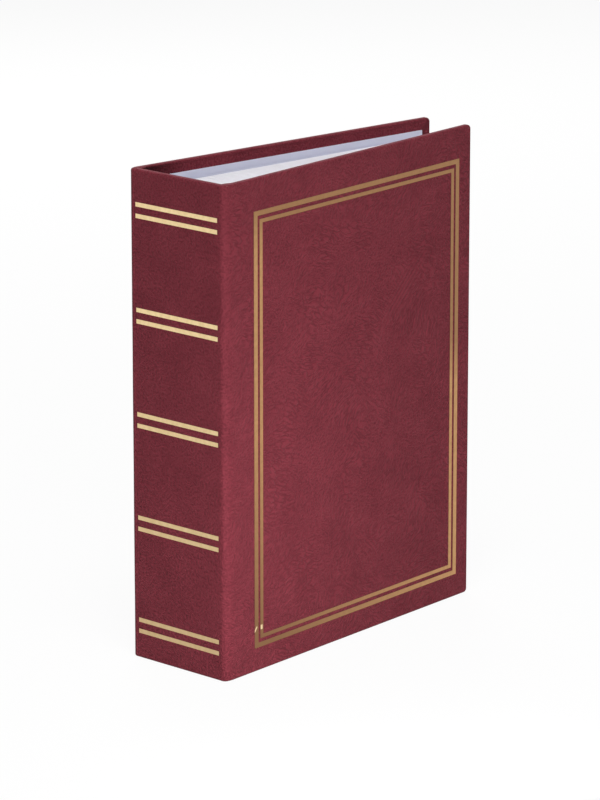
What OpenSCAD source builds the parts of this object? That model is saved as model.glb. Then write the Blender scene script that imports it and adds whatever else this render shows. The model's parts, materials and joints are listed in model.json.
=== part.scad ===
// Stamp stock album: a board-bound book of card pages with clear pocket strips.
// Guards space the pages at the spine, so the closed album is a wedge that
// narrows towards the fore edge. It stands on its tail edge.
// The spine is fixed. The covers and pages turn about upright hinge lines.
// X runs from the spine to the fore edge, the front cover faces -Y, Z is up.

/* [Pages] */
// Height of a stock page
page_h = 212; // [120:1:300]
// Width of a stock page from its hinge line to the fore edge
page_w = 159; // [100:1:220]
// Thickness of a page's card
card_t = 0.8; // [0.3:0.05:0.8]
// Air between neighbouring pages at the fore edge
page_gap = 0.15; // [0.15:0.05:0.5]
// Number of stock pages, half of them turning with each cover
leaf_count = 16; // [8:2:20]
// Thickness of a flyleaf
fly_t = 0.3; // [0.2:0.05:0.5]
// Radius of the linen roll that hinges a page
roll_r = 0.5; // [0.35:0.05:0.6]
// Radius of a page's corners at the fore edge
page_corner_r = 2; // [0.5:0.5:6]

/* [Pocket strips] */
// Thickness of a clear strip
strip_t = 0.15; // [0.1:0.05:0.2]
// Height of a clear strip
strip_h = 21; // [12:1:24]
// Number of strips on each side of a page
strip_rows = 7; // [3:1:7]
// Card below the lowest strip
strip_foot = 5; // [2:1:12]
// Card between the hinge line and a strip
strip_inset = 12; // [8:1:20]
// Card between a strip and the fore edge
strip_margin = 5; // [2:1:12]

/* [Guards] */
// Thickness of the guard that spaces one page at the spine
guard_t = 2.65; // [2.2:0.05:3.5]
// Depth of a guard from the spine lining
guard_d = 12; // [8:0.5:20]
// Air between neighbouring guards
guard_gap = 0.1; // [0.05:0.05:0.3]
// Air between a guard and the linen roll in front of it
roll_gap = 0.15; // [0.1:0.05:0.3]

/* [Covers] */
// Thickness of a cover board
board_t = 2.4; // [1.6:0.1:3.2]
// Thickness of the spine board
spine_board_t = 2.5; // [1.6:0.1:3.2]
// Thickness of the leatherette
skin_t = 0.5; // [0.3:0.05:0.7]
// Thickness of a pasted-down endpaper
endpaper_t = 0.2; // [0.15:0.05:0.3]
// Cover above the pages
head_square = 8.5; // [3:0.5:12]
// Cover below the pages
tail_square = 4.5; // [2:0.5:10]
// Cover past the pages at the fore edge
fore_square = 3.5; // [2:0.5:8]
// Width of the leatherette turned in round the boards
turn_in = 15; // [10:1:20]
// Leatherette left showing round an endpaper
endpaper_margin = 5.3; // [3:0.1:8]
// Radius of a cover's corners at the fore edge
corner_r = 2; // [1.5:0.5:6]
// Running gap round a cover's hinge
joint_gap = 0.2; // [0.15:0.05:0.3]
// Air between the closed cover and the flyleaf at the hinge line
hinge_side_gap = 0.2; // [0.1:0.05:0.5]
// Air between the closed cover and the flyleaf at the fore edge
fore_side_gap = 0.25; // [0.15:0.05:0.5]

/* [Gilt lines] */
// Depth of the groove pressed for a gilt line
groove_d = 0.15; // [0.1:0.01:0.2]
// Thickness of the gilt foil
foil_t = 0.08; // [0.04:0.01:0.1]
// Width of the frame's outer upright lines
outer_up_w = 2.6; // [1.5:0.1:3.2]
// Width of the frame's outer level lines
outer_level_w = 2.2; // [1.5:0.1:3.2]
// Width of the frame's inner upright lines
inner_up_w = 2.1; // [1:0.1:3]
// Width of the frame's inner level lines
inner_level_w = 1.7; // [1:0.1:3]
// Distance between the outer and inner frame lines, centre to centre
frame_spacing = 3.7; // [3.4:0.1:6]
// From the cover's hinge line to the centre of the outer frame line
frame_hinge_margin = 18.2; // [8:0.1:30]
// From the outer frame line to the fore edge
frame_fore_margin = 10.4; // [6:0.1:25]
// From the outer frame line to the head of the cover
frame_head_margin = 15.7; // [6:0.1:30]
// From the outer frame line to the tail of the cover
frame_tail_margin = 12.1; // [6:0.1:30]
// Width of a gilt line on the spine
band_w = 2; // [1:0.1:4]
// Distance between the two lines of a spine band
band_spacing = 5.2; // [4.5:0.1:8]
// Number of spine bands
band_count = 5; // [2:1:6]
// From the tail of the spine to the centre of the lowest band
band_tail_margin = 15.3; // [8:0.1:30]
// From the centre of the highest band to the head of the spine
band_head_margin = 18.4; // [8:0.1:30]
// Plain leatherette between a band and the front cover's hinge line
band_front_gap = 1.4; // [0.5:0.1:8]
// Plain leatherette between a band and the back cover's hinge line
band_back_gap = 1.6; // [0.1:0.1:8]

/* [Hidden] */
$fn = 64;
past = 1; // how far a cutting solid runs past what it cuts
cover_h = tail_square + page_h + head_square;

// Pages: the flyleaves are the first and the last of the hinged leaves.
leaf_t = card_t + 2 * strip_t;
page_pitch = leaf_t + page_gap;
guard_pitch = guard_t + guard_gap;
hinge_count = leaf_count + 2;
middle = (hinge_count - 1) / 2;
strip_pitch = (page_h - strip_foot) / strip_rows;

// Depth of the layers along X, from the outside of the spine.
hinge_r = spine_board_t + skin_t; // outside of the rounded joint
lining_x = hinge_r + skin_t; // the turned-in leatherette and the lining end here
guard_end_x = lining_x + guard_d;
pivot_x = guard_end_x + roll_gap + roll_r;

// Depth of the layers of a closed front cover, along its own Y, from the hinge line.
board_out = skin_t - hinge_r;
board_in = board_out + board_t;
turned_in = board_in + skin_t;
cover_in = turned_in + endpaper_t;

// The closed cover leans in from its hinge until it lies along the flyleaf.
half_at_hinge = hinge_count / 2 * guard_pitch + hinge_side_gap;
half_at_fore = middle * page_pitch + fly_t / 2 + fore_side_gap;
wedge = atan((half_at_hinge - half_at_fore) / page_w);
hinge_y = half_at_hinge + (pivot_x - hinge_r) * tan(wedge) + cover_in / cos(wedge);
cover_u = (pivot_x - hinge_r + page_w) / cos(wedge) + fore_square;
relief_r = hinge_r + joint_gap;
endpaper_u = relief_r + hinge_r / 2;

// The origin is under the middle of the album's bounding box.
total_x = hinge_r + cover_u * cos(wedge) + hinge_r * sin(wedge);
spine_x = -total_x / 2;

band_pitch = (cover_h - band_tail_margin - band_head_margin) / (band_count - 1);

leather = [0.48, 0.20, 0.24];
gilt = [0.72, 0.56, 0.34];
greyboard = [0.62, 0.58, 0.52];
white_card = [0.93, 0.93, 0.92];
pale_paper = [0.72, 0.72, 0.80];
clear_film = [0.80, 0.86, 0.90, 0.5];
linen = [0.86, 0.84, 0.78];

function two_digits(i) = i < 10 ? str("0", i) : str(i);
function leaf_name(i) = str("leaf_", two_digits(i));
function strips_name(i) = str(leaf_name(i), "_strips");

// Hinge line of leaf number i. Leaf 0 is the front flyleaf.
function offset_of(i) = i - middle;
function pivot_y(i) = offset_of(i) * guard_pitch;
// Lean of a closed leaf, which brings it to its place at the fore edge.
function lean(i) = -asin(offset_of(i) * (guard_pitch - page_pitch) / page_w);

// ---- Places ----

// The back of the album mirrors the front.
module on_side(back) {
    mirror([0, back ? 1 : 0, 0]) children();
}

// Stands a piece on the front hinge line, upright along Z.
module on_front_hinge() {
    translate([spine_x + hinge_r, -hinge_y, 0]) children();
}

// Turns a piece into the plane of the closed front cover. X runs along the cover.
module on_front_cover() {
    on_front_hinge() rotate([0, 0, wedge]) children();
}

// Stands a leaf on its hinge line with its lean.
module on_leaf(i) {
    translate([spine_x + pivot_x, pivot_y(i), tail_square])
        rotate([0, 0, lean(i)])
            children();
}

// ---- Shapes ----

// A plate in the XZ plane from y0 to y1, with the two fore-edge corners rounded.
module plate(x0, x1, z0, z1, y0, y1, r) {
    translate([0, y1, 0]) rotate([90, 0, 0]) linear_extrude(y1 - y0) {
        translate([x0, z0]) square([x1 - x0 - r, z1 - z0]);
        translate([x0, z0 + r]) square([x1 - x0, z1 - z0 - 2 * r]);
        translate([x1 - r, z0 + r]) circle(r);
        translate([x1 - r, z1 - r]) circle(r);
    }
}

// A cover-shaped plate, smaller than the cover by inset at head, tail and fore edge.
module cover_plate(inset, y0, y1, x0 = 0) {
    r = max(corner_r - inset, skin_t);
    plate(x0, cover_u - inset, inset, cover_h - inset, y0, y1, r);
}

// The hollow that clears the rounded joint at a cover's hinge.
module hinge_relief() {
    translate([0, 0, -past]) cylinder(r = relief_r, h = cover_h + 2 * past);
}

// A rectangular frame of lines, given by the centre lines of its sides.
module line_frame(step, up_w, level_w, y0, y1) {
    x0 = frame_hinge_margin + step;
    x1 = cover_u - frame_fore_margin - step;
    z0 = frame_tail_margin + step;
    z1 = cover_h - frame_head_margin - step;
    translate([0, y1, 0]) rotate([90, 0, 0]) linear_extrude(y1 - y0) difference() {
        translate([x0 - up_w / 2, z0 - level_w / 2])
            square([x1 - x0 + up_w, z1 - z0 + level_w]);
        translate([x0 + up_w / 2, z0 + level_w / 2])
            square([x1 - x0 - up_w, z1 - z0 - level_w]);
    }
}

module outer_lines(y0, y1) {
    line_frame(0, outer_up_w, outer_level_w, y0, y1);
}

module inner_lines(y0, y1) {
    line_frame(frame_spacing, inner_up_w, inner_level_w, y0, y1);
}

// All the lines of the spine bands, from x0 to x1 measured from the spine's outside.
module band_lines(x0, x1) {
    y0 = -hinge_y + band_front_gap;
    y1 = hinge_y - band_back_gap;
    for (band = [0:band_count - 1], side = [-1, 1]) {
        z = band_tail_margin + band * band_pitch + side * band_spacing / 2;
        translate([spine_x + x0, y0, z - band_w / 2]) cube([x1 - x0, y1 - y0, band_w]);
    }
}

// ---- Spine ----

// The board, with a half-round nose along each hinge line.
module spine_board() {
    color(greyboard) {
        translate([spine_x + skin_t, -hinge_y, skin_t])
            cube([spine_board_t, 2 * hinge_y, cover_h - 2 * skin_t]);
        for (back = [false, true]) on_side(back) on_front_hinge() difference() {
            translate([0, 0, skin_t]) cylinder(r = spine_board_t, h = cover_h - 2 * skin_t);
            cube([hinge_r, hinge_r, cover_h]);
        }
    }
}

// Leatherette over the outside of the spine, turned in at head and tail.
module spine_leatherette() {
    inner_half = hinge_y - hinge_side_gap;
    color(leather) difference() {
        union() {
            translate([spine_x, -hinge_y, 0]) cube([hinge_r, 2 * hinge_y, cover_h]);
            translate([spine_x, -inner_half, 0]) cube([lining_x, 2 * inner_half, cover_h]);
        }
        translate([spine_x + skin_t, -hinge_y - past, skin_t])
            cube([spine_board_t, 2 * (hinge_y + past), cover_h - 2 * skin_t]);
        translate([spine_x + hinge_r - past, -hinge_y, turn_in])
            cube([skin_t + 2 * past, 2 * hinge_y, cover_h - 2 * turn_in]);
        band_lines(-past, groove_d);
    }
}

module spine_gilt_bands() {
    color(gilt) band_lines(groove_d - foil_t, groove_d);
}

// Paper pasted inside the spine board between the turned-in ends.
module spine_lining() {
    inner_half = hinge_y - hinge_side_gap;
    color(linen) translate([spine_x + hinge_r, -inner_half, turn_in])
        cube([skin_t, 2 * inner_half, cover_h - 2 * turn_in]);
}

// Leatherette rolled round the nose of the spine board at a hinge line.
module joint_leatherette(back) {
    color(leather) on_side(back) on_front_hinge() difference() {
        cylinder(r = hinge_r, h = cover_h);
        translate([0, 0, skin_t]) cylinder(r = spine_board_t, h = cover_h - 2 * skin_t);
        translate([-hinge_r - past, 0, -past])
            cube([2 * (hinge_r + past), hinge_r + past, cover_h + 2 * past]);
    }
}

// One guard behind each leaf, standing on the spine lining.
module leaf_guards() {
    color(white_card) for (i = [0:hinge_count - 1])
        translate([spine_x + lining_x, pivot_y(i) - guard_t / 2, tail_square])
            cube([guard_d, guard_t, page_h]);
}

// ---- Covers ----

module cover_board(back) {
    color(greyboard) on_side(back) on_front_cover() difference() {
        cover_plate(skin_t, board_out, board_in);
        hinge_relief();
    }
}

// Leatherette over the outside of a cover, turned in at head, tail and fore edge.
module cover_leatherette() {
    difference() {
        cover_plate(0, -hinge_r, turned_in);
        cover_plate(skin_t, board_out, board_in, -past);
        translate([-past, board_out, turn_in])
            cube([cover_u - turn_in + past, board_t + skin_t + past, cover_h - 2 * turn_in]);
        hinge_relief();
    }
}

module front_leatherette() {
    color(leather) on_front_cover() difference() {
        cover_leatherette();
        outer_lines(-hinge_r - past, -hinge_r + groove_d);
        inner_lines(-hinge_r - past, -hinge_r + groove_d);
    }
}

module back_leatherette() {
    color(leather) on_side(true) on_front_cover() cover_leatherette();
}

// Paper pasted over the inside of a cover, level over board and turn-ins.
module cover_endpaper(back) {
    color(pale_paper) on_side(back) on_front_cover() {
        cover_plate(endpaper_margin, turned_in, cover_in, endpaper_u);
        translate([endpaper_u, board_in, turn_in])
            cube([cover_u - turn_in - endpaper_u, skin_t, cover_h - 2 * turn_in]);
    }
}

module front_gilt_frame_outer() {
    color(gilt) on_front_cover() outer_lines(-hinge_r + groove_d - foil_t, -hinge_r + groove_d);
}

module front_gilt_frame_inner() {
    color(gilt) on_front_cover() inner_lines(-hinge_r + groove_d - foil_t, -hinge_r + groove_d);
}

// ---- Leaves ----

// A sheet hinged on a linen roll.
module hinged_sheet(i, t, r) {
    on_leaf(i) {
        plate(0, page_w, 0, page_h, -t / 2, t / 2, page_corner_r);
        cylinder(r = r, h = page_h);
    }
}

module flyleaf(i) {
    color(pale_paper) hinged_sheet(i, fly_t, roll_r);
}

module leaf(i) {
    color(white_card) hinged_sheet(i, card_t, roll_r);
}

// The clear strips on both sides of a page. Stamps slip in behind their upper edges.
module leaf_strips(i) {
    color(clear_film) on_leaf(i)
        for (row = [0:strip_rows - 1], y = [-leaf_t / 2, card_t / 2])
            translate([strip_inset, y, strip_foot + row * strip_pitch])
                cube([page_w - strip_inset - strip_margin, strip_t, strip_h]);
}

spine_board();
spine_leatherette();
spine_gilt_bands();
spine_lining();
joint_leatherette(false);  // front_joint_leatherette
joint_leatherette(true);  // back_joint_leatherette
leaf_guards();
cover_board(false);  // front_board
front_leatherette();
cover_endpaper(false);  // front_endpaper
front_gilt_frame_outer();
front_gilt_frame_inner();
cover_board(true);  // back_board
back_leatherette();
cover_endpaper(true);  // back_endpaper
flyleaf(0);  // front_flyleaf
flyleaf(leaf_count + 1);  // back_flyleaf
for (i = [1:leaf_count]) {
    leaf(i);
    leaf_strips(i);
}
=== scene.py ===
import json
import math

import bmesh
import bpy
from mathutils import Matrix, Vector, noise


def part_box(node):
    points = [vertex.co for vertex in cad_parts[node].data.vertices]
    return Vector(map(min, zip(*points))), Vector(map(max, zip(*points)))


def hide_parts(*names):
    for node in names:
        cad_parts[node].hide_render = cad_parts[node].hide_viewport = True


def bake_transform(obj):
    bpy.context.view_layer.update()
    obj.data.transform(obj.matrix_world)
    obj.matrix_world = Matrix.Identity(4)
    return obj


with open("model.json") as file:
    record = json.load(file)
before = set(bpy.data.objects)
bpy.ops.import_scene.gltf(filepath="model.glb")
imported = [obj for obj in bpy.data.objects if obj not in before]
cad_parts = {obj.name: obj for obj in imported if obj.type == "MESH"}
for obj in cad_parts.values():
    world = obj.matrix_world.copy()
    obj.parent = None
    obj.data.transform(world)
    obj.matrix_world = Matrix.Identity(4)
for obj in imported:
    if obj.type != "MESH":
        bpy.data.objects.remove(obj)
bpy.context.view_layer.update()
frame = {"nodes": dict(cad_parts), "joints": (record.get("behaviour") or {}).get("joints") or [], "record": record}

MM = 0.001

# ---- Sizes, read from the frame ----

JOINTS = {joint["name"]: joint for joint in frame["joints"]}
MOUNTS = {mount["name"]: mount for mount in frame["record"]["mounts"]}
HINGE_X, FRONT_HINGE_Y, MIDDLE_Z = JOINTS["front_cover_hinge"]["pos_m"]
HINGE_Y = -FRONT_HINGE_Y
HEIGHT = 2 * MIDDLE_Z
FACE_AXIS = MOUNTS["back_cover_face"]["axis"]
WEDGE = math.atan2(FACE_AXIS[0], FACE_AXIS[1])


def cover_place(point):
    """(u, v, z) of a point on the closed front cover, measured from its hinge line."""
    x = point.x - HINGE_X
    y = point.y + HINGE_Y
    u = x * math.cos(WEDGE) + y * math.sin(WEDGE)
    v = -x * math.sin(WEDGE) + y * math.cos(WEDGE)
    return u, v, point.z


def cover_places(node):
    return [cover_place(vertex.co) for vertex in frame["nodes"][node].data.vertices]


spine_low, spine_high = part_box("spine_leatherette")
SPINE_X = spine_low.x
SPINE_THICK = spine_high.x - SPINE_X
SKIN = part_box("spine_board")[0].x - SPINE_X
HINGE_R = HINGE_X - SPINE_X
ARC = HINGE_R * (math.pi / 2 + WEDGE)
COVER_U = max(u for u, v, z in cover_places("front_leatherette"))
COVER_THICK = max(v for u, v, z in cover_places("front_leatherette")) + HINGE_R
PAPER_V = max(v for u, v, z in cover_places("front_endpaper"))
TURN_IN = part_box("spine_lining")[0].z

# ---- Sizes that only the looks need ----

CORNER_R = 2.0 * MM      # outline of a cover's corners
EDGE_R = 1.1 * MM        # leather rolled over an outer board edge
INNER_EDGE_R = 0.9 * MM  # leather rolled over an inner board edge
GROOVE_DEPTH = 0.15 * MM
GROOVE_RAMP = 0.22 * MM  # shoulder of a pressed groove
GROOVE_SIDE = 2.5 * GROOVE_RAMP  # outermost mesh line beside a groove
SEAM = 0.8 * MM          # where the two leathers meet, from the back hinge line
GRID = 3.0 * MM          # spacing of the leather's mesh
SWELL = 0.05 * MM        # unevenness of the boards under the leather
SWELL_SIZE = 22 * MM
SWELL_FADE = 4 * MM      # how far from a gilt line it has its full depth
ROUND_END = 3.0 * MM     # where the rolled joint runs out on the cover
ROUND_STEPS = 200
JOINT_START = 1.2 * MM   # where the inside of a joint leaves the spine
JOINT_END = 4.6 * MM     # where it reaches the cover
# Inside of a joint, in millimetres from its hinge line, along X and inwards
JOINT_PATH = [(0.5, 1.2), (0.9, 1.5), (1.6, 1.75), (2.5, 1.8), (3.4, 1.45), (4.0, 1.1)]
CUT_BEVEL = 0.12 * MM    # cut edge of the turned-in leather
# Inside of the paper hinge over a joint, in millimetres like JOINT_PATH
LINING_PATH = [(0.62, 1.95), (0.66, 1.5), (1.0, 1.62), (1.6, 1.88), (2.5, 1.93),
               (3.4, 1.6), (4.2, 1.22), (4.8, 1.16)]
LINING_THICK = 0.1 * MM
LINING_END = (5.6, 6.6, 8.5)  # along the cover, in millimetres, on the endpaper
LINING_STEP = 0.6 * MM   # between two mesh lines of the paper hinge, on its flat sheet
# Mesh lines round a cover, in millimetres from its outline
FACE_RINGS = (1.7, 1.4)
TURNED_RINGS = (1.6, 3, 6, 9, 12, 14.7)
SAME_EDGE = 0.2 * MM     # edges of foil closer than this are one
NEAR_END = 0.1 * MM      # marks closer than this to an end get no mesh line
SAME_LINE = 0.02 * MM    # mesh lines closer than this are one
CORNER_STEPS = 8
EDGE_STEPS = 6
JOINT_LINES = 18         # mesh lines across a rolled joint
SAME_POINT = 1e-7        # corners closer than this, in metres, are one


# ---- The case in section: s runs along the leather, from the hinge line ----

def polyline(points, share):
    """The point that lies this share of the way along a polyline."""
    lengths = [(b - a).length for a, b in zip(points, points[1:])]
    left = share * sum(lengths)
    for a, b, length in zip(points, points[1:], lengths):
        if left <= length:
            return a.lerp(b, left / length)
        left -= length
    return points[-1]


def cover_point(u, v):
    return Vector((u * math.cos(WEDGE) - v * math.sin(WEDGE),
                   u * math.sin(WEDGE) + v * math.cos(WEDGE)))


def rolled_joint():
    """Outside of a joint, from the spine's face to the cover's, as a soft curve."""
    spine_end = Vector((-HINGE_R, 0))
    cover_end = cover_point(ROUND_END, -HINGE_R)
    along = (-HINGE_R - cover_end.x) / math.cos(WEDGE)
    corner = cover_point(ROUND_END + along, -HINGE_R)
    points = []
    for k in range(ROUND_STEPS + 1):
        t = k / ROUND_STEPS
        points.append(spine_end.lerp(corner, t).lerp(corner.lerp(cover_end, t), t))
    return points


joint_outside = rolled_joint()


def outside(s):
    """Outer face of the case, from the hinge line, along X and inwards."""
    if s <= 0:
        return Vector((-HINGE_R, -s))
    if s < ARC + ROUND_END:
        return polyline(joint_outside, s / (ARC + ROUND_END))
    return cover_point(s - ARC, -HINGE_R)


COVER_INSIDE = COVER_THICK - HINGE_R
joint_inside = [MM * Vector(point) for point in JOINT_PATH]
joint_inside.append(cover_point(JOINT_END, COVER_INSIDE))


def inside(s):
    """Inner face of the case, on the turned-in leather."""
    if s <= -JOINT_START:
        return Vector((SPINE_THICK - HINGE_R, -s))
    if s < ARC + JOINT_END:
        share = (s + JOINT_START) / (ARC + JOINT_END + JOINT_START)
        return polyline(joint_inside, share)
    return cover_point(s - ARC, COVER_INSIDE)


def stand(place, z, back):
    """A point of the section at height z, on the front half or mirrored to the back."""
    y = place.y - HINGE_Y
    return Vector((HINGE_X + place.x, -y if back else y, z))


def case_point(s, z, depth, turned_in, back):
    """A point of the case, at a depth below its outer or its turned-in face."""
    out, inner = outside(s), inside(s)
    across = (inner - out).normalized()
    place = inner - across * depth if turned_in else out + across * depth
    return stand(place, z, back)


# ---- Gilt lines, read from the foil in the frame ----

def spread(values, apart=SAME_EDGE):
    """The values in a list that lie apart, sorted."""
    found = []
    for value in sorted(values):
        if not found or value - found[-1] > apart:
            found.append(value)
    return found


def frame_bars(node):
    """The four bars of a foil frame on the front cover, as (s0, s1, z0, z1)."""
    places = cover_places(node)
    u0, u1, u2, u3 = spread([u for u, v, z in places])
    z0, z1, z2, z3 = spread([z for u, v, z in places])
    sides = [(u0, u1, z0, z3), (u2, u3, z0, z3), (u0, u3, z0, z1), (u0, u3, z2, z3)]
    return [(ARC + a, ARC + b, c, d) for a, b, c, d in sides]


def band_bars():
    """The lines on the spine, as (s0, s1, z0, z1)."""
    points = [vertex.co for vertex in frame["nodes"]["spine_gilt_bands"].data.vertices]
    ys = spread([point.y for point in points])
    levels = spread([point.z for point in points])
    pairs = zip(levels[0::2], levels[1::2])
    return [(-HINGE_Y - ys[-1], -HINGE_Y - ys[0], low, high) for low, high in pairs]


gilt_bars = band_bars()
for node_name in ("front_gilt_frame_outer", "front_gilt_frame_inner"):
    gilt_bars += frame_bars(node_name)


def face_depth(s, z):
    """Depth of the leather's outer face: pressed in by the gilt lines, uneven between."""
    away = min(max(s0 - s, s - s1, z0 - z, z - z1, 0) for s0, s1, z0, z1 in gilt_bars)
    pressed = GROOVE_DEPTH * max(0, 1 - away / GROOVE_RAMP)
    uneven = SWELL * (1 + noise.noise(Vector((s, z, 0)) / SWELL_SIZE))
    return pressed + uneven * min(away / SWELL_FADE, 1)


# ---- Leather of a case half ----

def lattice(start, end, marks):
    """Grid lines from start to end: through each mark, and evenly between them."""
    inner = [mark for mark in marks if start + NEAR_END < mark < end - NEAR_END]
    stops = spread([start, *inner, end], SAME_LINE)
    lines = [stops[0]]
    for a, b in zip(stops, stops[1:]):
        count = max(1, round((b - a) / GRID))
        lines += [a + (b - a) * k / count for k in range(1, count + 1)]
    return lines


def bar_marks(first, second):
    """Grid lines that a pressed gilt line needs, from its two edges."""
    marks = []
    for bar in gilt_bars:
        for edge, way in ((bar[first], -1), (bar[second], 1)):
            marks += [edge, edge + way * GROOVE_RAMP, edge + way * GROOVE_SIDE]
    return marks


def edge_profile():
    """Rings of the rolled edge, from the outer face to the end of the turned-in leather.

    Each is (inset, depth, inset and depth of the under side, place on the flat sheet,
    whether the depths count from the turned-in face).
    """
    rings = [(ring * MM, 0, ring * MM, SKIN, ring * MM, False) for ring in FACE_RINGS]
    wrap = EDGE_R
    turns = ((EDGE_R, False), (INNER_EDGE_R, True))
    for radius, turned_in in turns:
        for k in range(EDGE_STEPS + 1):
            angle = math.pi / 2 * k / EDGE_STEPS
            flat = wrap - radius * angle
            if turned_in:
                angle = math.pi / 2 - angle
            under = radius - SKIN
            rings.append((
                radius - radius * math.sin(angle), radius - radius * math.cos(angle),
                radius - under * math.sin(angle), radius - under * math.cos(angle),
                flat, turned_in,
            ))
        wrap -= radius * math.pi / 2 + (COVER_THICK - EDGE_R - INNER_EDGE_R)
    for ring in TURNED_RINGS:
        rings.append((ring * MM, 0, ring * MM, SKIN, wrap - ring * MM, True))
    rings.append((TURN_IN, CUT_BEVEL, TURN_IN, SKIN, wrap - TURN_IN, True))
    return rings


def outline(lines_s, lines_z, inset, end_s):
    """The outline of the sheet moved in by inset, from the seam round to the seam."""
    reach = max(CORNER_R - inset, 0)
    centre = max(CORNER_R, inset)
    far = end_s - inset
    points = [(min(s, far), inset) for s in lines_s]
    for k in range(1, CORNER_STEPS):
        angle = math.pi / 2 * k / CORNER_STEPS
        across, up = reach * math.sin(angle), reach * math.cos(angle)
        points.append((end_s - centre + across, centre - up))
    points += [(far, min(max(z, inset), HEIGHT - inset)) for z in lines_z]
    for k in range(1, CORNER_STEPS):
        angle = math.pi / 2 * k / CORNER_STEPS
        across, up = reach * math.cos(angle), reach * math.sin(angle)
        points.append((end_s - centre + across, HEIGHT - centre + up))
    points += [(min(s, far), HEIGHT - inset) for s in reversed(lines_s)]
    return points


def shell(name, over, under, sheet, faces):
    """A closed piece from a surface, its under side and the rim between them."""
    edges = {edge for face in faces for edge in zip(face, face[1:] + face[:1])}
    rim = sorted((a, b) for a, b in edges if (b, a) not in edges)
    count = len(over)
    all_faces = faces + [[i + count for i in reversed(face)] for face in faces]
    all_faces += [[b, a, a + count, b + count] for a, b in rim]
    made = bmesh.new()
    layer = made.verts.layers.float_vector.new("sheet")
    for point, place in zip(over + under, sheet + sheet):
        vertex = made.verts.new(point)
        vertex[layer] = Vector((*place, 0))
    made.verts.ensure_lookup_table()
    for face in all_faces:
        made.faces.new([made.verts[i] for i in face])
    bmesh.ops.remove_doubles(made, verts=made.verts, dist=SAME_POINT)
    bmesh.ops.recalc_face_normals(made, faces=made.faces)
    for face in made.faces:
        face.smooth = True
    mesh = bpy.data.meshes.new(name)
    made.to_mesh(mesh)
    made.free()
    piece = bpy.data.objects.new(name, mesh)
    bpy.context.scene.collection.objects.link(piece)
    return piece


def case_leather(name, back, start_s, end_s, marks_s, marks_z):
    """Leather of one half of the case: its part of the spine, the joint and the cover."""
    lines_s = lattice(start_s, end_s - CORNER_R, marks_s)
    lines_z = lattice(CORNER_R, HEIGHT - CORNER_R, marks_z)
    columns, rows = len(lines_s), len(lines_z)
    over, under, sheet, faces = [], [], [], []

    def on_sheet(s):
        return -2 * HINGE_Y - s if back else s

    for s in lines_s:
        for z in lines_z:
            depth = face_depth(on_sheet(s), z)
            over.append(case_point(s, z, depth, False, back))
            under.append(case_point(s, z, SKIN + SWELL, False, back))
            sheet.append((on_sheet(s), z))
    for i in range(columns - 1):
        for j in range(rows - 1):
            a = i * rows + j
            faces.append([a, a + rows, a + rows + 1, a + 1])

    last = (columns - 1) * rows
    ring = [i * rows for i in range(columns)] + [last] * (CORNER_STEPS - 1)
    ring += [last + j for j in range(rows)] + [last + rows - 1] * (CORNER_STEPS - 1)
    ring += [i * rows + rows - 1 for i in reversed(range(columns))]
    for inset, depth, inset_under, depth_under, flat, turned_in in edge_profile():
        upper = outline(lines_s, lines_z, inset, end_s)
        lower = outline(lines_s, lines_z, inset_under, end_s)
        flats = outline(lines_s, lines_z, flat, end_s)
        first = len(over)
        for (s, z), (su, zu), (sf, zf) in zip(upper, lower, flats):
            uneven = 0 if turned_in else face_depth(on_sheet(s), z) * inset / CORNER_R
            over.append(case_point(s, z, depth + uneven, turned_in, back))
            under.append(case_point(su, zu, depth_under, turned_in, back))
            sheet.append((on_sheet(sf), zf))
        new = list(range(first, len(over)))
        for k in range(len(new) - 1):
            quad = [ring[k], new[k], new[k + 1], ring[k + 1]]
            # Round a corner the inmost ring stays on one point, and the quad is a triangle
            faces.append([v for n, v in enumerate(quad) if v != quad[n - 1]])
        ring = new
    return shell(name, over, under, sheet, faces)


def blend_joint(piece):
    """Bakes a piece's place into its mesh; it does not bend it round the joint."""
    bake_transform(piece)


def joint_lining(name, back):
    """Paper hinge from the spine lining over the joint onto the endpaper."""
    points = [MM * Vector(point) for point in LINING_PATH]
    points += [cover_point(u * MM, PAPER_V + LINING_THICK) for u in LINING_END]
    count = 2 * len(points)
    path = [polyline(points, k / count) for k in range(count + 1)]
    lines_z = lattice(TURN_IN, HEIGHT - TURN_IN, [])
    over, under, sheet, faces = [], [], [], []
    for k, place in enumerate(path):
        along = path[min(k + 1, count)] - path[max(k - 1, 0)]
        inward = Vector((-along.y, along.x)).normalized()
        for z in lines_z:
            over.append(stand(place, z, back))
            under.append(stand(place - inward * LINING_THICK, z, back))
            sheet.append((k * LINING_STEP, z))
    rows = len(lines_z)
    for i in range(count):
        for j in range(rows - 1):
            a = i * rows + j
            faces.append([a, a + rows, a + rows + 1, a + 1])
    return shell(name, over, under, sheet, faces)


# ---- Materials ----

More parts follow.
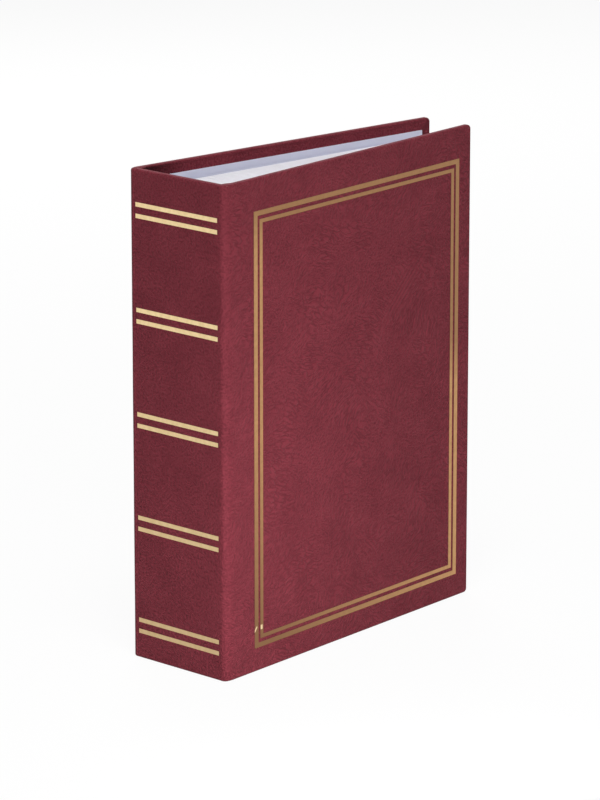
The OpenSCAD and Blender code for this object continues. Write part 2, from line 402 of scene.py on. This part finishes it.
class Finish:
    """A node material on Blender's own shader."""

    def __init__(self, name, **values):
        self.material = bpy.data.materials.new(name)
        self.material.use_nodes = True
        self.nodes = self.material.node_tree.nodes
        self.links = self.material.node_tree.links
        self.shader = self.nodes["Principled BSDF"]
        for key, value in values.items():
            self.shader.inputs[key.replace("_", " ")].default_value = value

    def add(self, kind, inputs, **settings):
        """Adds a node. Each input is a number, a colour or another node's output."""
        node = self.nodes.new("ShaderNode" + kind)
        for key, value in settings.items():
            setattr(node, key, value)
        for key, value in inputs.items():
            self.give(node.inputs[key], value)
        return node

    def give(self, socket, value):
        if isinstance(value, bpy.types.NodeSocket):
            self.links.new(value, socket)
        else:
            socket.default_value = value

    def math(self, operation, a, b=0.0):
        return self.add("Math", {0: a, 1: b}, operation=operation).outputs[0]

    def millimetres(self, place):
        return self.add("Mapping", {"Vector": place, "Scale": (1 / MM,) * 3}).outputs[0]

    def sheet(self):
        """Place on a piece's flat sheet, in millimetres."""
        made = self.add("Attribute", {}, attribute_name="sheet")
        return self.millimetres(made.outputs["Vector"])

    def place(self):
        """Place on a piece that only rides, in millimetres."""
        return self.millimetres(self.add("TexCoord", {}).outputs["Object"])

    def noise(self, place, scale, detail=2.0, roughness=0.5, stretch=None):
        """Noise with this many cells per millimetre, after a stretch."""
        if stretch:
            place = self.add("Mapping", {"Vector": place, "Scale": stretch}).outputs[0]
        made = self.add("TexNoise", {"Vector": place, "Scale": scale, "Detail": detail,
                                     "Roughness": roughness})
        return made.outputs["Fac"]

    def span(self, value, low, high, to_low=0.0, to_high=1.0, smooth=False):
        """The value taken from one range to another, and held at its ends."""
        kind = "SMOOTHSTEP" if smooth else "LINEAR"
        made = self.add("MapRange", {"Value": value, "From Min": low, "From Max": high,
                                     "To Min": to_low, "To Max": to_high},
                        interpolation_type=kind)
        return made.outputs["Result"]

    def mix(self, share, a, b):
        made = self.add("Mix", {0: share, 2: a, 3: b}, data_type="FLOAT")
        return made.outputs[0]

    def colour(self, share, a, b):
        made = self.add("Mix", {0: share, 6: a, 7: b}, data_type="RGBA")
        return made.outputs[2]

    def finish(self, colour, roughness, height, depth):
        """Links the shader. The bump is this deep, in metres."""
        self.give(self.shader.inputs["Base Color"], colour)
        self.give(self.shader.inputs["Roughness"], roughness)
        bump = self.add("Bump", {"Height": height, "Distance": depth, "Strength": 1.0})
        self.links.new(bump.outputs[0], self.shader.inputs["Normal"])
        return self.material


def rgb(red, green, blue):
    return (red, green, blue, 1.0)


# Colours of the materials, in linear light
RED_LOW, RED_HIGH = rgb(0.168, 0.0277, 0.0389), rgb(0.195, 0.0323, 0.0452)
# Painted shade in the leather's creases
RED_CREASE_SHADE = rgb(0.077, 0.0127, 0.0180)
# Painted shade for the leather turned in behind the spine and its joints
RED_PAINTED_SHADE = rgb(0.018, 0.0028, 0.0042)
# One gilt in two copies: painted darker as shade on the front, painted lighter on the spine
FRONT_GILT_SHADED_LOW, FRONT_GILT_SHADED_HIGH = rgb(0.47, 0.257, 0.110), rgb(0.57, 0.318, 0.140)
SPINE_GILT_LIT_LOW, SPINE_GILT_LIT_HIGH = rgb(0.80, 0.60, 0.31), rgb(0.92, 0.71, 0.40)
# Painted shade on the foil
GILT_SHADE = rgb(0.24, 0.122, 0.056)
# Painted highlight on the foil
PAINTED_GLINT = rgb(0.95, 0.72, 0.42)
BOARD_LOW, BOARD_HIGH = rgb(0.30, 0.27, 0.23), rgb(0.46, 0.42, 0.36)
PAGE_LOW, PAGE_HIGH = rgb(0.86, 0.86, 0.90), rgb(0.92, 0.92, 0.96)
GUARD_LOW, GUARD_HIGH = rgb(0.80, 0.80, 0.79), rgb(0.86, 0.86, 0.86)
# Endpaper: pale paper painted darker and blue-grey, as painted shade
BLUE_SHADE_LOW, BLUE_SHADE_HIGH = rgb(0.55, 0.56, 0.68), rgb(0.64, 0.65, 0.77)
LINEN_LOW, LINEN_HIGH = rgb(0.62, 0.59, 0.52), rgb(0.80, 0.77, 0.70)
FILM_LOW, FILM_HIGH = rgb(0.82, 0.87, 0.90), rgb(0.90, 0.93, 0.95)

# Leatherette, in millimetres on its flat sheet and in radians
FLOW_TURNS = (0.85, -0.35)      # two ways in which the fine creases run
FLOW_SEEDS = (3.0, 11.0)
FLOW_PATCH = 30                 # size of the patches that follow one way
WIDE_BEND, WIDE_SHIFT = 45, 11  # size of the flow's wide bends, and how far they move it
NEAR_BEND, NEAR_SHIFT = 12, 1.6
CREASE_CELLS = 0.62             # noise cells per millimetre across the flow
CREASE_STRETCH = 0.34           # cells along the flow, for each one across it
CREASE_REACH = 0.14             # half width of a crease, in values of its noise
PEBBLES = 0.95                  # pebbles per millimetre
CREASE_PATCH = 26               # size of the patches with more or fewer creases
CREASE_SHARES = (0.3, 0.8)      # least and most share of creases among the pebbles
PLAIN_SHARE = 0.4               # how much of it the spine and the back cover keep
PLAIN_FADE = (-6, 12)           # where it grows to all of it, from the front hinge line
BUNDLE_CENTRE = (ARC / MM + 125, 157)
BUNDLE_TURN = math.radians(42)
BUNDLE_SPACING = 2.1
BUNDLE_HALF_LENGTH, BUNDLE_HALF_WIDTH = 34, 9
BUNDLE_SHARE = 0.5
MOTTLE = 0.05                   # cells of uneven colour per millimetre
CREASE_SHADE = 0.56             # how far painted shade darkens the deepest creases
PAINTED_SHADE_EDGE = (2.2, 3.4)        # where the painted shade starts, past head and tail
PAINTED_SHADE_FADE = (8, 38)           # where the painted shade ends, past a hinge line
PAINTED_SHADE_SHARE = 0.93             # how dark the painted shade is
# How deep each bump is
LEATHER_BUMP = 0.38 * MM
FOIL_BUMP = 0.03 * MM
BOARD_BUMP = 0.08 * MM
PAPER_BUMP = 0.02 * MM
LINEN_BUMP = 0.05 * MM
FILM_BUMP = 0.3 * MM


def turned_place(look, place, centre, turn):
    """Place along and across a direction that leans by turn, from a centre."""
    moved = look.add("Mapping", {"Vector": place, "Location": (-centre[0], -centre[1], 0)})
    return look.add("Mapping", {"Vector": moved.outputs[0],
                                "Rotation": (0, 0, -turn)}).outputs[0]


def flow_creases(look, place, turn, seed):
    """Fine creases that run side by side along a bending flow: 0 in a crease, 1 beside."""
    turned = turned_place(look, place, (seed, -seed), turn)
    parts = look.add("SeparateXYZ", {0: turned}).outputs
    wide = look.span(look.noise(turned, 1 / WIDE_BEND, 1.0), 0, 1, -WIDE_SHIFT, WIDE_SHIFT)
    near = look.span(look.noise(turned, 1 / NEAR_BEND, 1.0), 0, 1, -NEAR_SHIFT, NEAR_SHIFT)
    across = look.math("ADD", look.math("ADD", parts[1], wide), near)
    along = look.math("ADD", parts[0], near)
    flow = look.add("CombineXYZ", {0: look.math("MULTIPLY", along, CREASE_STRETCH),
                                   1: across, 2: seed}).outputs[0]
    raw = look.noise(flow, CREASE_CELLS, 1.0, 0.45)
    away = look.math("ABSOLUTE", look.math("SUBTRACT", raw, 0.5))
    return look.span(away, 0, CREASE_REACH)


def long_creases(look, place):
    """A bundle of long straight creases. Returns its waves and where it lies."""
    turned = turned_place(look, place, BUNDLE_CENTRE, BUNDLE_TURN)
    wave = look.add("TexWave", {"Vector": turned, "Scale": math.pi / 10 / BUNDLE_SPACING,
                                "Distortion": 3.0, "Detail": 1.0, "Detail Scale": 0.2},
                    bands_direction="Y").outputs["Fac"]
    scale = (1 / BUNDLE_HALF_LENGTH, 1 / BUNDLE_HALF_WIDTH, 0)
    size = look.add("Mapping", {"Vector": turned, "Scale": scale}).outputs[0]
    away = look.add("VectorMath", {0: size}, operation="LENGTH").outputs["Value"]
    return wave, look.span(away, 0.1, 1, 1, 0, smooth=True)


def painted_shade_share(look, place):
    """1 on the leather turned in behind the spine and its joints, where painted shade darkens it."""
    parts = look.add("SeparateXYZ", {0: place}).outputs
    up = look.math("ABSOLUTE", look.math("SUBTRACT", parts[1], MIDDLE_Z / MM))
    turned_in = look.span(up, *(MIDDLE_Z / MM + edge for edge in PAINTED_SHADE_EDGE))
    along = look.math("ABSOLUTE", look.math("ADD", parts[0], HINGE_Y / MM))
    fade = [HINGE_Y / MM + end for end in PAINTED_SHADE_FADE]
    near = look.span(along, *fade, 1, 0, smooth=True)
    return look.math("MULTIPLY", turned_in, near)


def leather_finish():
    look = Finish("red_leatherette", Specular_IOR_Level=0.03)
    place = look.sheet()
    first, second = (flow_creases(look, place, turn, seed)
                     for turn, seed in zip(FLOW_TURNS, FLOW_SEEDS))
    patch = look.span(look.noise(place, 1 / FLOW_PATCH, 2), 0.46, 0.54, smooth=True)
    crease = look.mix(patch, first, second)
    pebbles = look.span(look.noise(place, PEBBLES, 2.0, 0.5), 0.34, 0.66)
    share = look.span(look.noise(place, 1 / CREASE_PATCH, 2), 0.4, 0.6, *CREASE_SHARES)
    along = look.add("SeparateXYZ", {0: place}).outputs[0]
    kept = look.span(along, *PLAIN_FADE, PLAIN_SHARE, 1)
    share = look.math("MULTIPLY", share, kept)
    height = look.mix(share, pebbles, crease)
    wave, bundle = long_creases(look, place)
    height = look.mix(look.math("MULTIPLY", bundle, BUNDLE_SHARE), height, wave)
    mottle = look.noise(place, MOTTLE, 3, 0.55)
    colour = look.colour(look.span(mottle, 0.36, 0.64), RED_LOW, RED_HIGH)
    # Painted shade: the creases are darkened in the colour
    shade = look.span(height, 0.1, 0.75, CREASE_SHADE, 0.0)
    colour = look.colour(shade, colour, RED_CREASE_SHADE)
    # Painted shade: the turned-in leather behind the spine and joints is darkened in the colour
    painted_shade = look.math("MULTIPLY", painted_shade_share(look, place), PAINTED_SHADE_SHARE)
    colour = look.colour(painted_shade, colour, RED_PAINTED_SHADE)
    roughness = look.span(mottle, 0.3, 0.7, 0.50, 0.42)
    return look.finish(colour, roughness, height, LEATHER_BUMP)


def painted_glint_mark(look, place, centre, turn, length, width):
    """1 inside a small upright or slanting block, where a painted highlight goes."""
    turned = turned_place(look, place, centre, turn)
    size = look.add("Mapping", {"Vector": turned,
                                "Scale": (2 / length, 2 / width, 0)}).outputs[0]
    parts = look.add("SeparateXYZ", {0: size}).outputs
    away = look.math("MAXIMUM", look.math("ABSOLUTE", parts[0]),
                     look.math("ABSOLUTE", parts[1]))
    return look.span(away, 0.7, 1, 1, 0)


def foil_finish(name, low, high, lean, shade_rows, marks=()):
    """Pressed foil. Each row of painted shade fades between two heights that fall along the cover, and each mark
    is a painted highlight.
    """
    look = Finish(name, Metallic=1.0)
    place = look.place()
    grain = look.noise(place, 1.6, 3, 0.6)
    wear = look.noise(place, 0.5, 3)
    colour = look.colour(look.span(wear, 0.3, 0.7), low, high)
    hinge = cover_point(0, 0) - Vector((HINGE_X, -HINGE_Y))
    flat = look.add("Mapping", {"Vector": place, "Location": (hinge.x / MM, hinge.y / MM, 0)})
    flat = look.add("Mapping", {"Vector": flat.outputs[0], "Rotation": (0, 0, -WEDGE)})
    parts = look.add("SeparateXYZ", {0: flat.outputs[0]}).outputs
    on_cover = look.add("CombineXYZ", {0: parts[0], 1: parts[2]}).outputs[0]
    level = look.math("ADD", parts[2], look.math("MULTIPLY", parts[0], lean))
    for shade_row in shade_rows:
        colour = look.colour(look.span(level, *shade_row), colour, GILT_SHADE)
    for mark in marks:
        bright = painted_glint_mark(look, on_cover, *mark)
        colour = look.colour(bright, colour, PAINTED_GLINT)
    roughness = look.span(wear, 0.3, 0.7, 0.30, 0.36)
    return look.finish(colour, roughness, grain, FOIL_BUMP)


def board_finish():
    look = Finish("grey_board")
    place = look.place()
    layers = look.noise(place, 1.2, 4, 0.6, (0.3, 3.0, 0.3))
    colour = look.colour(layers, BOARD_LOW, BOARD_HIGH)
    return look.finish(colour, 0.9, layers, BOARD_BUMP)


def paper_finish(name, low, high, sheet=False):
    look = Finish(name)
    place = look.sheet() if sheet else look.place()
    fibres = look.noise(place, 1.6, 5, 0.65)
    clouds = look.noise(place, 0.12, 3)
    colour = look.colour(look.mix(0.5, fibres, clouds), low, high)
    roughness = look.span(fibres, 0.3, 0.7, 0.62, 0.75)
    return look.finish(colour, roughness, fibres, PAPER_BUMP)


def linen_finish():
    look = Finish("spine_linen")
    place = look.place()
    threads = [look.add("TexWave", {"Vector": place, "Scale": 0.5, "Distortion": 0.6,
                                    "Detail": 1.0}, bands_direction=way).outputs["Fac"]
               for way in ("Y", "Z")]
    weave = look.math("ADD", *threads)
    colour = look.colour(look.math("MULTIPLY", weave, 0.5), LINEN_LOW, LINEN_HIGH)
    return look.finish(colour, 0.85, weave, LINEN_BUMP)


def film_finish():
    look = Finish("clear_film", Alpha=0.28, Specular_IOR_Level=0.6)
    ripple = look.noise(look.place(), 0.06, 2)
    colour = look.colour(ripple, FILM_LOW, FILM_HIGH)
    roughness = look.span(ripple, 0.3, 0.7, 0.08, 0.16)
    return look.finish(colour, roughness, ripple, FILM_BUMP)


leather = leather_finish()
# Painted highlights on the front frame: centre on the cover, lean, length and width in mm
PAINTED_GLINTS = [((17.5, 19.7), math.radians(52), 3.6, 0.9), ((21.7, 20.1), 0, 1.6, 2.4)]
# Rows of painted shade: from one height at the hinge to another, in mm, and how dark at each
FRONT_SHADE_ROWS = [(30, 120, 0.85, 0), (203, 224, 0, 0.6)]
SPINE_SHADE_ROWS = [(0, 160, 0.5, 0)]
FRONT_LEAN = 0.6         # how much a row of painted shade falls along the cover
front_foil = foil_finish("front_foil", FRONT_GILT_SHADED_LOW, FRONT_GILT_SHADED_HIGH, FRONT_LEAN,
                         FRONT_SHADE_ROWS, PAINTED_GLINTS)
spine_foil = foil_finish("spine_foil", SPINE_GILT_LIT_LOW, SPINE_GILT_LIT_HIGH, 0, SPINE_SHADE_ROWS)
greyboard = board_finish()
page_card = paper_finish("page_card", PAGE_LOW, PAGE_HIGH)
guard_card = paper_finish("guard_card", GUARD_LOW, GUARD_HIGH)
endpaper = paper_finish("endpaper", BLUE_SHADE_LOW, BLUE_SHADE_HIGH)
joint_paper = paper_finish("joint_paper", BLUE_SHADE_LOW, BLUE_SHADE_HIGH, sheet=True)
linen = linen_finish()
film = film_finish()

FINISHES = {
    "leatherette": leather, "gilt_foil": front_foil, "greyboard": greyboard, "lining": linen,
    "guard_card": guard_card, "page_card": page_card, "endpaper": endpaper,
    "clear_film": film,
}
for part in frame["record"]["subparts"]:
    for material_slot in frame["nodes"][part["node"]].material_slots:
        material_slot.material = FINISHES[part["material_slot"]]
for material_slot in frame["nodes"]["spine_gilt_bands"].material_slots:
    material_slot.material = spine_foil


# ---- Pieces ----

joint_marks = [(ARC + ROUND_END) * k / JOINT_LINES for k in range(1, JOINT_LINES + 1)]
front_marks_s = bar_marks(0, 1) + [0, ARC + JOINT_END, -JOINT_START] + joint_marks
front_case_leather = case_leather(
    "front_case_leather", False, SEAM - 2 * HINGE_Y, ARC + COVER_U,
    front_marks_s, bar_marks(2, 3))
blend_joint(front_case_leather)
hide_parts("spine_leatherette", "front_joint_leatherette",
            "front_leatherette")

back_marks_s = [0, ARC + JOINT_END] + joint_marks
back_case_leather = case_leather(
    "back_case_leather", True, -SEAM, ARC + COVER_U, back_marks_s, [])
blend_joint(back_case_leather)
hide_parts("back_joint_leatherette", "back_leatherette")

for piece in (front_case_leather, back_case_leather):
    piece.data.materials.append(leather)

for piece_name, is_back in (("front_joint_lining", False), ("back_joint_lining", True)):
    lining = joint_lining(piece_name, is_back)
    lining.data.materials.append(joint_paper)
    blend_joint(lining)


# ---- Floor, light and camera ----

FLOOR_SIZE = 12.0
FLOOR_WHITE = 0.93       # share of plain white that is seen of the floor
FLOOR_CARD = rgb(0.8, 0.8, 0.8)
ROOM_STRENGTH = 0.12
WHITE = rgb(1.0, 1.0, 1.0)
MIDDLE = (0, 0, HEIGHT / 2)
# Name, place, aim, width, height and power of each lamp, and whether it is reflected
LAMPS = [
    ("main", (-1.2, -1.3, 1.05), MIDDLE, 0.7, 0.7, 12.8, True),
    ("near", (-0.16, -0.22, 0.04), (-0.05, 0, 0.07), 0.16, 0.07, 0.39, True),
    ("top", (-0.3, -0.3, 1.1), MIDDLE, 0.4, 0.4, 7.5, False),
    ("back", (0.9, 1.1, 0.8), MIDDLE, 0.8, 0.8, 13.0, False),
]
CAMERA_PLACE = (-1.48709, -1.40076, 0.63312)
CAMERA_YAW = math.radians(46.5111)
CAMERA_PITCH = math.radians(14.42)
CAMERA_LENS = 208.1
CAMERA_SENSOR = 36.0


def plain_plane(name, size):
    mesh = bpy.data.meshes.new(name)
    half = size / 2
    corners = [(-half, -half, 0), (half, -half, 0), (half, half, 0), (-half, half, 0)]
    mesh.from_pydata(corners, [], [(0, 1, 2, 3)])
    plane = bpy.data.objects.new(name, mesh)
    bpy.context.scene.collection.objects.link(plane)
    return plane


def seen_share(tree, share):
    """This share for rays from the camera, a reflection or clear film, otherwise 0."""
    ray = tree.nodes.new("ShaderNodeLightPath")
    seen = ray.outputs["Is Camera Ray"]
    for kind in ("Is Glossy Ray", "Is Transmission Ray"):
        either = tree.nodes.new("ShaderNodeMath")
        either.operation = "MAXIMUM"
        tree.links.new(seen, either.inputs[0])
        tree.links.new(ray.outputs[kind], either.inputs[1])
        seen = either.outputs[0]
    scaled = tree.nodes.new("ShaderNodeMath")
    scaled.operation = "MULTIPLY"
    scaled.inputs[1].default_value = share
    tree.links.new(seen, scaled.inputs[0])
    return scaled.outputs[0]


def mix_for_eyes(tree, share, lighting, seen, out):
    """Links two shaders: one that lights the object and one that is seen."""
    mixed = tree.nodes.new("ShaderNodeMixShader")
    tree.links.new(seen_share(tree, share), mixed.inputs[0])
    tree.links.new(lighting.outputs[0], mixed.inputs[1])
    tree.links.new(seen.outputs[0], mixed.inputs[2])
    tree.links.new(mixed.outputs[0], out.inputs[0])


def floor_finish():
    """White to the camera, with a trace of the object's shadow, and pale to the light."""
    material = bpy.data.materials.new("floor")
    material.use_nodes = True
    tree = material.node_tree
    tree.nodes.clear()
    card = tree.nodes.new("ShaderNodeBsdfDiffuse")
    card.inputs["Color"].default_value = FLOOR_CARD
    white = tree.nodes.new("ShaderNodeEmission")
    out = tree.nodes.new("ShaderNodeOutputMaterial")
    mix_for_eyes(tree, FLOOR_WHITE, card, white, out)
    return material


floor = plain_plane("floor", FLOOR_SIZE)
floor.data.materials.append(floor_finish())

world = bpy.data.worlds.new("studio")
bpy.context.scene.world = world
world.use_nodes = True
world.node_tree.nodes.clear()
room = world.node_tree.nodes.new("ShaderNodeBackground")
room.inputs["Color"].default_value = WHITE
room.inputs["Strength"].default_value = ROOM_STRENGTH
backdrop = world.node_tree.nodes.new("ShaderNodeBackground")
backdrop.inputs["Color"].default_value = WHITE
world_out = world.node_tree.nodes.new("ShaderNodeOutputWorld")
mix_for_eyes(world.node_tree, 1.0, room, backdrop, world_out)


def softbox(name, place, aim, width, height, power, reflected):
    light = bpy.data.lights.new(name, "AREA")
    light.shape = "RECTANGLE"
    light.size, light.size_y = width, height
    light.energy = power
    lamp = bpy.data.objects.new(name, light)
    lamp.location = place
    lamp.rotation_euler = (Vector(aim) - Vector(place)).to_track_quat("-Z", "Y").to_euler()
    lamp.visible_camera = False
    lamp.visible_glossy = reflected
    bpy.context.scene.collection.objects.link(lamp)


for lamp_row in LAMPS:
    softbox(*lamp_row)

camera = bpy.data.objects.new("camera", bpy.data.cameras.new("camera"))
camera.data.sensor_width = CAMERA_SENSOR
camera.data.lens = CAMERA_LENS
camera.location = CAMERA_PLACE
camera.rotation_euler = (math.pi / 2 - CAMERA_PITCH, 0, -CAMERA_YAW)
bpy.context.scene.collection.objects.link(camera)
bpy.context.scene.camera = camera
bpy.context.scene.view_settings.view_transform = "Standard"
